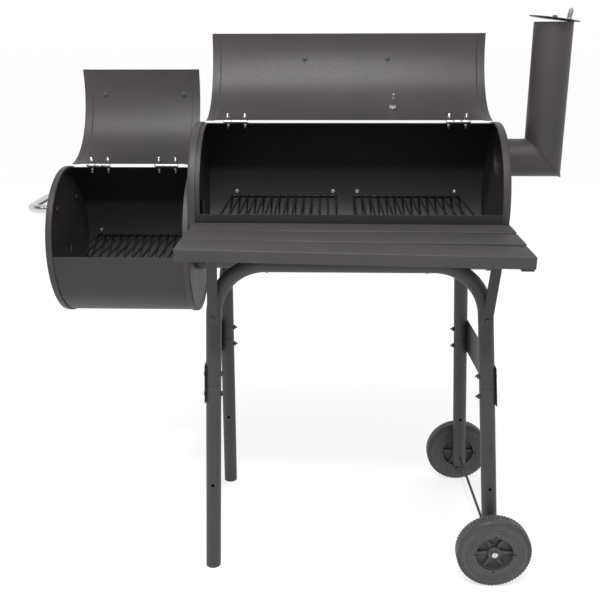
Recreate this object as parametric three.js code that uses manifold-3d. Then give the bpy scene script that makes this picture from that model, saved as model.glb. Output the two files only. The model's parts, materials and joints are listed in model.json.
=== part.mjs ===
// Offset smoker: a horizontal cooking drum with a lower side firebox, an elbow chimney,
// a slatted front shelf and a tube stand on two wheels. Millimetres, +Z up, the front is -Y.
// The model is laid out from the left end of the cooking drum (X), its axis (Y) and the floor (Z),
// then moved so that the origin is the bottom centre of the whole smoker.
import * as THREE from 'three';
import { mergeVertices } from 'three/addons/utils/BufferGeometryUtils.js';
import Module from 'manifold-3d';

const wasm = await Module();
wasm.setup();

// ---------------------------------------------------------------- driving dimensions
const DEG = Math.PI / 180;
const GAP = 0.3; // clearance between touching pieces

const DRUM_LENGTH = 620; // cooking drum over its end caps
const MAIN_Z = 774; // height of the cooking drum's axis
const FIREBOX_LENGTH = 285;
const FIREBOX_Z = 682;
const SHELL_OUTER = 151; // both drums are rolled to the same radius
const SHELL_INNER = 149.4;
const CAP_OUTER = 153.3;
const CAP_SHEET = 1.6;
const MAIN_FLANGE = 15; // how far an end cap wraps onto its shell
const FIREBOX_FLANGE = 13;
const LID_INNER = 152;
const LID_OUTER = 153.5;
const ROLL_STEP = 7.5 * DEG; // facet of a rolled sheet

// Angles round a drum run from its top towards its front.
const MAIN = {
  hinge: 1 * DEG, lip: 92.7 * DEG, lidEnd: 94.6 * DEG, open: 178.5 * DEG,
  window: [24, 604.6], lid: [21, 604], hingesX: [81.5, 534.8],
  handleX: [219.5, 396.8], handleAngle: 75 * DEG,
};
const FIREBOX = {
  hinge: -8 * DEG, lip: 90.8 * DEG, lidEnd: 92.4 * DEG, open: 169 * DEG,
  window: [-271.6, -13.4], lid: [-271, -13.6], hingesX: [-214.9, -70.4],
  handleX: [-225.5, -49.6], handleAngle: 72 * DEG,
};
const PASSAGE = { width: 124, low: 672, high: 762 }; // smoke passage between the two drums

const HINGE_RADIUS = 154.5; // from the drum's axis to the hinge pin
const HINGE_WIDTH = 48;
const KNUCKLE_OUTER = 3.2;
const KNUCKLE_BORE = 2.4;
const PIN_RADIUS = 2;

const LID_HANDLE_TUBE = 6;
const LID_HANDLE_HEIGHT = 46;
const SIDE_HANDLE = { tube: 9, reach: 62.4, halfSpan: 68, z: 759, bend: 26 };

const GRATE = { width: 240, depth: 292.6, thick: 5, rod: 5, pitch: 17.8, drop: 23 };
const MAIN_GRATES_X = [52, 328];
const FIREBOX_GRATE_X = -262;

const FLUE = { outer: 38, inner: 36.5, z: 856, stackX: 709, top: 1120 };
const DAMPER = { radius: 49, sheet: 1.5, tilt: 7.2 * DEG, pivotX: 738, centreX: 710 };

const TUBE_OUTER = 15.8;
const TUBE_INNER = 14.4;
const FRAME = {
  y: 122, z: 659.5, splay: 5.2 * DEG, bend: 106, jointZ: 408,
  // Each leg's X at the top tube, and its sideways lean.
  front: { left: [43.6, -0.0229], right: [583.5, 0.0646] },
  rear: { left: [37.5, -0.0181], right: [574, 0.0592] },
};
const SIDE_PLATE = { low: 369, high: 452, sheet: 1.6 };

const SHELF = { front: -381, rear: -153.8, top: 750.5, height: 21, gap: 5, left: 12, right: 619 };
const SLAT_WIDTH = 77;
const SLAT_SHEET = 2;
const SLAT_SAG = [0.018, 0.0095, 0.0026]; // front, middle, rear: each slat leans down to the right
const BRACKET = { width: 21, thick: 3, footZ: 541, boltZ: 554, armFront: -372, armZ: 728.1 };

// The axle crosses the stand at a small angle; the wheel positions are along it.
const WHEEL = { radius: 77.5, halfWidth: 18.5, hub: 13, bore: 3.3, front: -229.5, rear: 212 };
const AXLE = { radius: 3, x: 613.3, turn: 0.0249 };
const AXLE_NUT = { radius: 6.5, height: 6 };

// ---------------------------------------------------------------- materials
const paint = new THREE.MeshStandardMaterial({ color: 0x2c2a2b, roughness: 0.5, metalness: 0.25 });
const framePaint = new THREE.MeshStandardMaterial({ color: 0x333334, roughness: 0.5, metalness: 0.2 });
const shelfPaint = new THREE.MeshStandardMaterial({ color: 0x3c3939, roughness: 0.6, metalness: 0.2 });
const grateIron = new THREE.MeshStandardMaterial({ color: 0x17171a, roughness: 0.6, metalness: 0.4 });
const zinc = new THREE.MeshStandardMaterial({ color: 0xb9bbbd, roughness: 0.35, metalness: 0.9 });
const chrome = new THREE.MeshStandardMaterial({ color: 0xdcdde0, roughness: 0.12, metalness: 1 });
const plastic = new THREE.MeshStandardMaterial({ color: 0x232325, roughness: 0.6, metalness: 0 });
const dialWhite = new THREE.MeshStandardMaterial({ color: 0xe9e8e2, roughness: 0.5, metalness: 0 });
const needleRed = new THREE.MeshStandardMaterial({ color: 0xa02318, roughness: 0.5, metalness: 0 });

// ---------------------------------------------------------------- solids, cuts and joins
const X_AXIS = new THREE.Vector3(1, 0, 0);
const Y_AXIS = new THREE.Vector3(0, 1, 0);
const Z_AXIS = new THREE.Vector3(0, 0, 1);

// A closed geometry as a solid with welded corners and its faces pointing out.
function toSolid(geometry) {
  const bare = geometry.clone();
  bare.deleteAttribute('normal');
  bare.deleteAttribute('uv');
  const welded = mergeVertices(bare, 1e-4);
  const points = welded.attributes.position;
  const corners = welded.index.array;
  const [a, b, c] = [new THREE.Vector3(), new THREE.Vector3(), new THREE.Vector3()];
  const triangles = [];
  let volume = 0;
  for (let i = 0; i < corners.length; i += 3) {
    const [p, q, r] = corners.subarray(i, i + 3);
    if (p === q || q === r || r === p) continue;
    triangles.push([p, q, r]);
    a.fromBufferAttribute(points, p);
    b.fromBufferAttribute(points, q);
    c.fromBufferAttribute(points, r);
    volume += a.dot(b.cross(c));
  }
  const outward = volume > 0 ? triangles : triangles.map(([p, q, r]) => [p, r, q]);
  return new wasm.Manifold(new wasm.Mesh({
    numProp: 3,
    vertProperties: new Float32Array(points.array),
    triVerts: new Uint32Array(outward.flat()),
  }));
}

function toGeometry(solid) {
  const { vertProperties, triVerts } = solid.getMesh();
  const geometry = new THREE.BufferGeometry();
  geometry.setAttribute('position', new THREE.BufferAttribute(vertProperties, 3));
  geometry.setIndex(new THREE.BufferAttribute(triVerts, 1));
  geometry.computeVertexNormals();
  return geometry;
}

const join = (...pieces) => toGeometry(pieces.map(toSolid).reduce((all, piece) => all.add(piece)));

const cut = (base, ...tools) =>
  toGeometry(tools.map(toSolid).reduce((rest, tool) => rest.subtract(tool), toSolid(base)));

function addPart(parent, name, geometry, material) {
  const mesh = new THREE.Mesh(toGeometry(toSolid(geometry)), material);
  mesh.name = name;
  parent.add(mesh);
  return mesh;
}

function groupAt(parent, x, y, z) {
  const group = new THREE.Group();
  group.position.set(x, y, z);
  parent.add(group);
  return group;
}

// ---------------------------------------------------------------- shared shapes
const boxBetween = ([x0, y0, z0], [x1, y1, z1]) =>
  new THREE.BoxGeometry(x1 - x0, y1 - y0, z1 - z0)
    .translate((x0 + x1) / 2, (y0 + y1) / 2, (z0 + z1) / 2);

const shapeOf = (points) => new THREE.Shape(points.map(([u, v]) => new THREE.Vector2(u, v)));

const circlePoints = (radius, sides) =>
  Array.from({ length: sides }, (_, k) => {
    const turn = (k / sides) * 2 * Math.PI;
    return [radius * Math.cos(turn), radius * Math.sin(turn)];
  });

// A section in the Y-Z plane drawn out along X.
function extrudeX(shape, x0, x1) {
  const geometry = new THREE.ExtrudeGeometry(shape, { depth: x1 - x0, bevelEnabled: false });
  geometry.applyMatrix4(new THREE.Matrix4().makeBasis(Y_AXIS, Z_AXIS, X_AXIS));
  return geometry.translate(x0, 0, 0);
}

const extrudeZ = (shape, z0, z1) =>
  new THREE.ExtrudeGeometry(shape, { depth: z1 - z0, bevelEnabled: false }).translate(0, 0, z0);

// A [radius, height] profile turned about Z.
const turnedZ = (profile, sides) =>
  new THREE.LatheGeometry(profile.map(([r, h]) => new THREE.Vector2(r, h)), sides)
    .rotateX(Math.PI / 2);

const rodX = (radius, x0, x1, sides = 12) =>
  extrudeX(shapeOf(circlePoints(radius, sides)), x0, x1);

const rodY = (radius, y0, y1, sides = 12) =>
  new THREE.CylinderGeometry(radius, radius, y1 - y0, sides).translate(0, (y0 + y1) / 2, 0);

const rodZ = (radius, z0, z1, sides = 12) =>
  extrudeZ(shapeOf(circlePoints(radius, sides)), z0, z1);

// Part of a rolled sheet between two angles, as a section in the Y-Z plane.
function rolledSection(inner, outer, from, to) {
  const steps = Math.max(3, Math.round((to - from) / ROLL_STEP));
  const arc = (radius) =>
    Array.from({ length: steps + 1 }, (_, k) => {
      const angle = from + ((to - from) * k) / steps;
      return [-radius * Math.sin(angle), radius * Math.cos(angle)];
    });
  return shapeOf([...arc(outer), ...arc(inner).reverse()]);
}

// Corners joined by straight runs and arcs of one radius, as stations along a tube.
function roundedRoute(corners, radius, arcSteps) {
  const stations = [corners[0]];
  for (let i = 1; i < corners.length - 1; i += 1) {
    const into = corners[i].clone().sub(corners[i - 1]).normalize();
    const out = corners[i + 1].clone().sub(corners[i]).normalize();
    const turn = into.angleTo(out);
    const start = corners[i].clone().addScaledVector(into, -radius * Math.tan(turn / 2));
    const centre = corners[i].clone()
      .addScaledVector(out.clone().sub(into).normalize(), radius / Math.cos(turn / 2));
    const spoke = start.clone().sub(centre);
    for (let k = 0; k <= arcSteps; k += 1) {
      const angle = (turn * k) / arcSteps;
      stations.push(centre.clone()
        .addScaledVector(spoke, Math.cos(angle))
        .addScaledVector(into, radius * Math.sin(angle)));
    }
  }
  stations.push(corners[corners.length - 1]);
  return stations;
}

// A path that is sampled exactly at its stations.
class StationPath extends THREE.Curve {
  constructor(stations) {
    super();
    this.stations = stations;
  }

  getPoint(t, target = new THREE.Vector3()) {
    const place = t * (this.stations.length - 1);
    const index = Math.min(Math.floor(place), this.stations.length - 2);
    return target.lerpVectors(this.stations[index], this.stations[index + 1], place - index);
  }

  getPointAt(u, target) {
    return this.getPoint(u, target);
  }

  getTangentAt(u, target = new THREE.Vector3()) {
    const last = this.stations.length - 1;
    const index = Math.round(u * last);
    const here = this.stations[index];
    const before = here.clone().sub(this.stations[Math.max(index - 1, 0)]).normalize();
    const after = this.stations[Math.min(index + 1, last)].clone().sub(here).normalize();
    return target.addVectors(before, after).normalize();
  }
}

function tubeAlong(stations, outer, sides, inner = 0) {
  const section = shapeOf(circlePoints(outer, sides));
  if (inner > 0) {
    section.holes.push(new THREE.Path(circlePoints(inner, sides)
      .reverse().map(([u, v]) => new THREE.Vector2(u, v))));
  }
  return new THREE.ExtrudeGeometry(section, {
    steps: stations.length - 1, extrudePath: new StationPath(stations), bevelEnabled: false,
  });
}

// ---------------------------------------------------------------- drums
// A drum shell is a rolled tube with a window cut into its upper front.
function drumShell(x0, x1, drum) {
  const ring = shapeOf(circlePoints(SHELL_OUTER, 48));
  ring.holes.push(new THREE.Path(circlePoints(SHELL_INNER, 48)
    .reverse().map(([u, v]) => new THREE.Vector2(u, v))));
  const tube = extrudeX(ring, x0, x1);
  const opening = rolledSection(SHELL_INNER - 12, SHELL_OUTER + 12, drum.hinge - 1 * DEG, drum.lip);
  return cut(tube, extrudeX(opening, ...drum.window));
}

// A pressed end cap: a flat disc whose rim wraps onto the shell. inward is +1 or -1 along X.
function endCap(faceX, inward, flange) {
  const corner = 3;
  const inner = CAP_OUTER - CAP_SHEET;
  const profile = [
    [0, 0], [CAP_OUTER - corner, 0], [CAP_OUTER, corner], [CAP_OUTER, flange],
    [inner, flange], [inner, CAP_SHEET], [0, CAP_SHEET],
  ];
  return turnedZ(profile, 48).rotateY((inward * Math.PI) / 2).translate(faceX, 0, 0);
}

function passageCutter(axisZ) {
  const half = PASSAGE.width / 2;
  return boxBetween([-20, -half, PASSAGE.low - axisZ], [20, half, PASSAGE.high - axisZ]);
}

function addDrums(smoker) {
  const main = groupAt(smoker, 0, 0, MAIN_Z);
  const inset = CAP_SHEET + GAP;
  addPart(main, 'main_drum_shell', drumShell(inset, DRUM_LENGTH - inset, MAIN), paint);
  addPart(main, 'main_cap_left',
    cut(endCap(0, 1, MAIN_FLANGE), passageCutter(MAIN_Z)), paint);
  const flueHole = rodX(FLUE.inner, DRUM_LENGTH - 10, DRUM_LENGTH + 10, 24)
    .translate(0, 0, FLUE.z - MAIN_Z);
  addPart(main, 'main_cap_right',
    cut(endCap(DRUM_LENGTH, -1, MAIN_FLANGE), flueHole), paint);

  const firebox = groupAt(smoker, 0, 0, FIREBOX_Z);
  addPart(firebox, 'firebox_shell',
    drumShell(-FIREBOX_LENGTH + inset, -GAP - inset, FIREBOX), paint);
  addPart(firebox, 'firebox_cap_right',
    cut(endCap(-GAP, -1, FIREBOX_FLANGE), passageCutter(FIREBOX_Z)), paint);
  addAirShutter(firebox);
  addGrates(main, firebox);
}

// ---------------------------------------------------------------- air shutter on the firebox end
function addAirShutter(firebox) {
  const centreZ = -45;
  const face = -FIREBOX_LENGTH;
  const radius = 40;
  const sheet = 1.2;
  const bore = 3.4;
  const window = (turn) =>
    extrudeX(rolledSection(12, 34, turn - 28 * DEG, turn + 28 * DEG), face - 20, face + 20)
      .translate(0, 0, centreZ);
  const windows = (turn) => [window(turn), window(turn + 180 * DEG)];
  const hole = () => rodX(bore, face - 20, face + 20).translate(0, 0, centreZ);
  addPart(firebox, 'firebox_cap_left',
    cut(endCap(face, 1, FIREBOX_FLANGE), ...windows(0), hole()), paint);

  const outside = face - GAP;
  const disc = rodX(radius, outside - sheet, outside, 32).translate(0, 0, centreZ);
  const tab = boxBetween([outside - 16, -7, centreZ + 26], [outside - sheet / 2, 7, centreZ + 28]);
  addPart(firebox, 'air_shutter', cut(join(disc, tab), ...windows(90 * DEG), hole()), paint);

  const rivet = [
    [0, -4.8], [6, -4.8], [6, -GAP - CAP_SHEET], [3, -GAP - CAP_SHEET],
    [3, sheet + 2 * GAP], [6.5, sheet + 2 * GAP], [4.5, 5], [0, 5],
  ];
  addPart(firebox, 'air_shutter_rivet',
    turnedZ(rivet, 12).rotateY(-Math.PI / 2).translate(face, 0, centreZ), zinc);
}

// ---------------------------------------------------------------- grates
// Rods welded across two end bars; the slots between the rods run front to back.
function grate() {
  const halfWidth = GRATE.width / 2;
  const halfDepth = GRATE.depth / 2;
  const [low, high] = [-GRATE.drop - GRATE.thick, -GRATE.drop];
  const slots = Math.floor((GRATE.width - GRATE.rod) / GRATE.pitch);
  const slotPitch = (GRATE.width - GRATE.rod) / slots;
  const end = halfDepth - GRATE.rod;
  const slotCutters = Array.from({ length: slots }, (_, k) => {
    const left = -halfWidth + GRATE.rod + k * slotPitch;
    return boxBetween([left, -end, low - 5], [left + slotPitch - GRATE.rod, end, high + 5]);
  });
  return cut(boxBetween([-halfWidth, -halfDepth, low], [halfWidth, halfDepth, high]), ...slotCutters);
}

function addGrates(main, firebox) {
  const names = ['cooking_grate_left', 'cooking_grate_right'];
  MAIN_GRATES_X.forEach((x, i) => {
    addPart(main, names[i], grate(), grateIron).position.x = x + GRATE.width / 2;
  });
  addPart(firebox, 'charcoal_grate', grate(), grateIron).position.x =
    FIREBOX_GRATE_X + GRATE.width / 2;
}

// ---------------------------------------------------------------- lids and hinges
const rolledStrip = (inner, outer, from, to, x0, x1) =>
  extrudeX(rolledSection(inner, outer, from, to), x0, x1);

// Three knuckles on one pin: the fixed leaf carries the outer two, the lid's leaf the middle one.
function hingeSet(drum, x) {
  const x0 = x - HINGE_WIDTH / 2;
  const x1 = x + HINGE_WIDTH / 2;
  const third = HINGE_WIDTH / 3;
  const axis = new THREE.Vector3(0, 0, HINGE_RADIUS).applyAxisAngle(X_AXIS, drum.hinge);
  const onAxis = (geometry) => geometry.translate(0, axis.y, axis.z);
  const bore = () => onAxis(rodX(KNUCKLE_BORE, x0 - 5, x1 + 5));
  const knuckle = (a, b) => onAxis(rodX(KNUCKLE_OUTER, a, b));
  const fixedInner = SHELL_OUTER + GAP;
  const fixedOuter = fixedInner + 1.5;
  const fixedFrom = drum.hinge - 11.5 * DEG;
  const tongue = (a, b) =>
    rolledStrip(fixedInner, fixedOuter, drum.hinge - 3 * DEG, drum.hinge, a, b);
  const lower = cut(join(
    rolledStrip(fixedInner, fixedOuter, fixedFrom, drum.hinge - 2.6 * DEG, x0, x1),
    tongue(x0, x0 + third - GAP), knuckle(x0, x0 + third - GAP),
    tongue(x1 - third + GAP, x1), knuckle(x1 - third + GAP, x1),
  ), bore());
  const lidInner = LID_OUTER + GAP;
  const lidOuter = lidInner + 1.5;
  const upper = cut(join(
    rolledStrip(lidInner, lidOuter, drum.hinge + 1.5 * DEG, drum.hinge + 11 * DEG, x0, x1),
    rolledStrip(lidInner, lidOuter, drum.hinge + 0.6 * DEG, drum.hinge + 2 * DEG,
      x0 + third, x1 - third),
    knuckle(x0 + third, x1 - third),
  ), bore());
  const pin = onAxis(rodX(PIN_RADIUS, x0 - 1, x1 + 1));
  return { lower, upper, pin };
}

// Everything on a lid is laid out closed, inside a group that swings about the hinge pins.
function addLid(smoker, drumName, drum, axisZ) {
  const fixed = groupAt(smoker, 0, 0, axisZ);
  const pinY = -HINGE_RADIUS * Math.sin(drum.hinge);
  const pinZ = HINGE_RADIUS * Math.cos(drum.hinge);
  const swing = groupAt(fixed, 0, pinY, pinZ);
  swing.rotation.x = -drum.open;
  const closed = groupAt(swing, 0, -pinY, -pinZ);
  ['left', 'right'].forEach((side, i) => {
    const hinge = hingeSet(drum, drum.hingesX[i]);
    addPart(fixed, `${drumName}_hinge_${side}_lower_leaf`, hinge.lower, zinc);
    addPart(fixed, `${drumName}_hinge_${side}_pin`, hinge.pin, zinc);
    addPart(closed, `${drumName}_hinge_${side}_upper_leaf`, hinge.upper, zinc);
  });
  addLidHandle(closed, `${drumName}_lid_handle`, drum);
  return closed;
}

const lidSheet = (drum) =>
  rolledStrip(LID_INNER, LID_OUTER, drum.hinge + 1.5 * DEG, drum.lidEnd, ...drum.lid);

// A frame on a drum's surface: its Z runs straight out from the drum at the given angle.
function radialGroup(parent, x, angle) {
  const group = groupAt(parent, x, 0, 0);
  group.rotation.x = angle;
  return group;
}

function addLidHandle(closed, name, drum) {
  const [left, right] = drum.handleX;
  const foot = LID_OUTER + GAP;
  const top = foot + LID_HANDLE_HEIGHT - LID_HANDLE_TUBE;
  const corners = [[left, foot], [left, top], [right, top], [right, foot]]
    .map(([x, z]) => new THREE.Vector3(x, 0, z));
  const handle = tubeAlong(roundedRoute(corners, 20, 4), LID_HANDLE_TUBE, 10);
  addPart(radialGroup(closed, 0, drum.handleAngle), name, handle, chrome);
}

function addThermometer(closed) {
  const angle = 26 * DEG;
  const x = 405;
  const seat = LID_OUTER + GAP;
  const place = radialGroup(closed, x, angle);
  const caseProfile = [
    [3.8, seat], [25, seat], [25, seat + 9], [23.6, seat + 9],
    [23.6, seat + 1.4], [3.8, seat + 1.4], [3.8, seat],
  ];
  addPart(place, 'thermometer_case', turnedZ(caseProfile, 28), chrome);
  addPart(place, 'thermometer_dial',
    cut(rodZ(23.2, seat + 4.6, seat + 5.6, 28), rodZ(1.6, seat, seat + 20)), dialWhite);
  const needle = shapeOf([[-5, -1.4], [15.5, -0.5], [17.5, 0], [15.5, 0.5], [-5, 1.4]]);
  addPart(place, 'thermometer_needle', extrudeZ(needle, seat + 6.8, seat + 7.3), needleRed)
    .rotation.z = 215 * DEG;
  const stem = [
    [0, seat - 38], [2.2, seat - 38], [3, seat - 36], [3, seat + 4],
    [1.2, seat + 4], [1.2, seat + 6.5], [0, seat + 6.5],
  ];
  addPart(place, 'thermometer_stem', turnedZ(stem, 10), zinc);
  const nutTop = LID_INNER - 0.7;
  addPart(place, 'thermometer_nut',
    cut(rodZ(8, nutTop - 5, nutTop, 6), rodZ(3.5, nutTop - 9, nutTop + 9)), zinc);
}

function addLids(smoker) {
  const mainClosed = addLid(smoker, 'main', MAIN, MAIN_Z);
  const probe = rodZ(5, LID_INNER - 10, LID_OUTER + 10).rotateX(26 * DEG).translate(405, 0, 0);
  addPart(mainClosed, 'main_lid', cut(lidSheet(MAIN), probe), paint);
  addThermometer(mainClosed);
  const fireboxClosed = addLid(smoker, 'firebox', FIREBOX, FIREBOX_Z);
  addPart(fireboxClosed, 'firebox_lid', lidSheet(FIREBOX), paint);
}

function addSideHandle(smoker) {
  const root = -FIREBOX_LENGTH - GAP;
  const { tube, reach, halfSpan, z, bend } = SIDE_HANDLE;
  const tip = -FIREBOX_LENGTH - reach + tube;
  const corners = [[root, -halfSpan], [tip, -halfSpan], [tip, halfSpan], [root, halfSpan]]
    .map(([x, y]) => new THREE.Vector3(x, y, z));
  const handle = tubeAlong(roundedRoute(corners, bend, 5), tube, 12);
  addPart(smoker, 'side_handle', handle, chrome);
}

// ---------------------------------------------------------------- chimney and its damper
function flueTube(length) {
  const ring = shapeOf(circlePoints(FLUE.outer, 28));
  ring.holes.push(new THREE.Path(circlePoints(FLUE.inner, 28)
    .reverse().map(([u, v]) => new THREE.Vector2(u, v))));
  return extrudeZ(ring, 0, length);
}

// The stub and the stack meet on a 45 degree mitre through the corner of the elbow.
function mitreCutter(side) {
  const size = 200;
  return new THREE.BoxGeometry(size, size, size)
    .translate(side * (size / 2 - GAP / 2), 0, 0)
    .rotateY(-45 * DEG)
    .translate(FLUE.stackX, 0, FLUE.z);
}

function addChimney(smoker) {
  const start = DRUM_LENGTH + GAP;
  const stub = flueTube(FLUE.stackX - start + 60).rotateY(90 * DEG).translate(start, 0, FLUE.z);
  addPart(smoker, 'chimney_elbow', cut(stub, mitreCutter(1)), paint);

  const stack = flueTube(FLUE.top - FLUE.z + 60).translate(FLUE.stackX, 0, FLUE.z - 60);
  const boltFootX = DAMPER.pivotX - 1.4;
  const tab = boxBetween([boltFootX - 7, -8, FLUE.top - 12], [FLUE.stackX + 37.2, 8, FLUE.top - 10]);
  const tabHole = rodZ(3.4, FLUE.top - 20, FLUE.top).translate(boltFootX, 0, 0);
  addPart(smoker, 'chimney_stack', cut(join(stack, tab), mitreCutter(-1), tabHole), paint);
  addDamper(smoker);
}

// The damper lid leans on the stack's rim and swivels on a sprung bolt at its right edge.
function addDamper(smoker) {
  const rimX = FLUE.stackX + FLUE.outer;
  const seatZ = FLUE.top + GAP + (rimX - DAMPER.pivotX) * Math.tan(DAMPER.tilt);
  const pivot = groupAt(smoker, DAMPER.pivotX, 0, seatZ);
  pivot.rotation.y = DAMPER.tilt;
  const centre = (DAMPER.centreX - DAMPER.pivotX) / Math.cos(DAMPER.tilt);
  const disc = cut(
    rodZ(DAMPER.radius, 0, DAMPER.sheet, 32).translate(centre, 0, 0), rodZ(3, -5, 5));
  addPart(pivot, 'damper_disc', disc, paint);

  const knob = [
    [0, 0], [4.6, 0], [4.6, 4.4], [3.6, 5.4], [0, 5.4],
  ].map(([r, h]) => [r, h + DAMPER.sheet + GAP]);
  addPart(pivot, 'damper_knob', turnedZ(knob, 12), plastic).position.x = centre;

  const bolt = [[0, -18], [5, -18], [5, -14.6], [2.5, -14.6], [2.5, 25], [0, 25]];
  addPart(pivot, 'damper_pivot_bolt', turnedZ(bolt, 10), zinc);

  const turns = 4;
  const turnSteps = 7;
  const coil = Array.from({ length: turns * turnSteps + 1 }, (_, k) => {
    const angle = (k / turnSteps) * 2 * Math.PI;
    const rise = DAMPER.sheet + 1.2 + (12 * k) / (turns * turnSteps);
    return new THREE.Vector3(4.6 * Math.cos(angle), 4.6 * Math.sin(angle), rise);
  });
  addPart(pivot, 'damper_spring', tubeAlong(coil, 0.8, 5), zinc);
  const nutLow = DAMPER.sheet + 14.4;
  addPart(pivot, 'damper_pivot_nut',
    cut(rodZ(5, nutLow, nutLow + 6, 6), rodZ(2.8, nutLow - 5, nutLow + 9)), zinc);
}

// ---------------------------------------------------------------- stand
// A point on a leg's centre line, by its drop below the frame's top tube.
function legPoint(end, side, drop) {
  const [top, lean] = FRAME[end > 0 ? 'rear' : 'front'][side];
  const y = end * (FRAME.y + drop * Math.sin(FRAME.splay));
  const z = FRAME.z - drop * Math.cos(FRAME.splay);
  return new THREE.Vector3(top + lean * drop, y, z);
}

const dropAt = (z) => (FRAME.z - z) / Math.cos(FRAME.splay);

// A profile turned about a leg's centre line, starting at the given point.
function alongLeg(profile, sides, start, direction) {
  const turn = new THREE.Quaternion().setFromUnitVectors(Z_AXIS, direction);
  return turnedZ(profile, sides).applyQuaternion(turn).translate(...start.toArray());
}

const axleCutter = () =>
  rodY(AXLE.radius + 0.3, -260, 260, 10).rotateZ(AXLE.turn).translate(AXLE.x, 0, WHEEL.radius);
const floorCutter = () => boxBetween([-600, -600, -100], [900, 600, 0]);

function addLegFrame(smoker, endName, end) {
  const jointDrop = dropAt(FRAME.jointZ);
  const corners = [
    legPoint(end, 'left', jointDrop), legPoint(end, 'left', 0),
    legPoint(end, 'right', 0), legPoint(end, 'right', jointDrop),
  ];
  const route = roundedRoute(corners, FRAME.bend, 5);
  addPart(smoker, `${endName}_leg_frame`, tubeAlong(route, TUBE_OUTER, 12, TUBE_INNER), framePaint);
}

// A lower leg slides into the frame's tube with a thinner spigot.
function addLowerLeg(smoker, endName, end, side) {
  const bottomDrop = dropAt(side === 'left' ? 0 : 58);
  const bottom = legPoint(end, side, bottomDrop);
  const up = legPoint(end, side, 0).sub(bottom).normalize();
  const length = bottom.distanceTo(legPoint(end, side, dropAt(FRAME.jointZ))) - GAP;
  const start = side === 'left' ? 4 : 0;
  const spigot = TUBE_INNER - 0.7;
  const profile = [
    [TUBE_INNER, start], [TUBE_OUTER, start], [TUBE_OUTER, length], [spigot, length],
    [spigot, length + 45], [spigot - 1.3, length + 45], [spigot - 1.3, length - 3],
    [TUBE_INNER, length - 3], [TUBE_INNER, start],
  ];
  const tube = alongLeg(profile, 12, bottom, up);
  addPart(smoker, `${endName}_${side}_lower_leg`,
    side === 'left' ? tube : cut(tube, axleCutter()), framePaint);
  if (side === 'left') {
    const plug = [
      [0, -3], [TUBE_OUTER, -3], [TUBE_OUTER, start - GAP], [TUBE_INNER - GAP, start - GAP],
      [TUBE_INNER - GAP, 20], [0, 20],
    ];
    addPart(smoker, `${endName}_left_foot`,
      cut(alongLeg(plug, 12, bottom, up), floorCutter()), plastic);
  }
}

// A sheet bolted outside the front and rear legs of one side, across the tube joints.
function addSidePlate(smoker, side) {
  const outward = side === 'left' ? -1 : 1;
  const middle = (SIDE_PLATE.low + SIDE_PLATE.high) / 2;
  const front = legPoint(-1, side, dropAt(middle));
  const rear = legPoint(1, side, dropAt(middle));
  const along = rear.clone().sub(front).normalize();
  const lean = legPoint(-1, side, 0).sub(legPoint(-1, side, 500)).normalize();
  const up = new THREE.Vector3(lean.x, 0, 1).normalize();
  const normal = along.clone().cross(up).normalize();
  const halfHeight = (SIDE_PLATE.high - SIDE_PLATE.low) / 2;
  const halfLength = front.distanceTo(rear) / 2;
  const spread = halfHeight * Math.tan(FRAME.splay);
  const reach = halfLength + TUBE_OUTER - 3;
  const outline = shapeOf([
    [-reach - spread, -halfHeight], [reach + spread, -halfHeight],
    [reach - spread, halfHeight], [-reach + spread, halfHeight],
  ]);
  const near = TUBE_OUTER + 0.5;
  const [low, high] = outward > 0
    ? [near, near + SIDE_PLATE.sheet]
    : [-near - SIDE_PLATE.sheet, -near];
  const plate = extrudeZ(outline, low, high)
    .applyMatrix4(new THREE.Matrix4().makeBasis(along, up, normal))
    .translate(...front.lerp(rear, 0.5).toArray());
  addPart(smoker, `${side}_side_plate`, plate, framePaint);
}

function addStand(smoker) {
  [['front', -1], ['rear', 1]].forEach(([endName, end]) => {
    addLegFrame(smoker, endName, end);
    ['left', 'right'].forEach((side) => addLowerLeg(smoker, endName, end, side));
  });
  ['left', 'right'].forEach((side) => addSidePlate(smoker, side));
}

// ---------------------------------------------------------------- front shelf
// A folded slat: a shallow channel, open below, with rounded upper edges.
function slat(y0, y1) {
  const edge = 3;
  const wall = SLAT_SHEET;
  const low = -SHELF.height;
  const section = shapeOf([
    [y0, low], [y0 + wall, low], [y0 + wall, -wall], [y1 - wall, -wall], [y1 - wall, low],
    [y1, low], [y1, -edge], [y1 - 0.9, -0.9], [y1 - edge, 0],
    [y0 + edge, 0], [y0 + 0.9, -0.9], [y0, -edge],
  ]);
  const half = (SHELF.right - SHELF.left) / 2;
  return extrudeX(section, -half, half);
}

function addShelf(smoker) {
  const middleX = (SHELF.left + SHELF.right) / 2;
  ['front', 'middle', 'rear'].forEach((name, i) => {
    const y0 = SHELF.front + i * (SLAT_WIDTH + SHELF.gap);
    const y1 = Math.min(y0 + SLAT_WIDTH, SHELF.rear);
    const mesh = addPart(smoker, `shelf_slat_${name}`, slat(y0, y1), shelfPaint);
    mesh.position.set(middleX, 0, SHELF.top);
    mesh.rotation.y = SLAT_SAG[i];
  });
  addBracket(smoker, 'left', 0.016, 5);
  addBracket(smoker, 'right', 0.1, -7);
}

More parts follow.
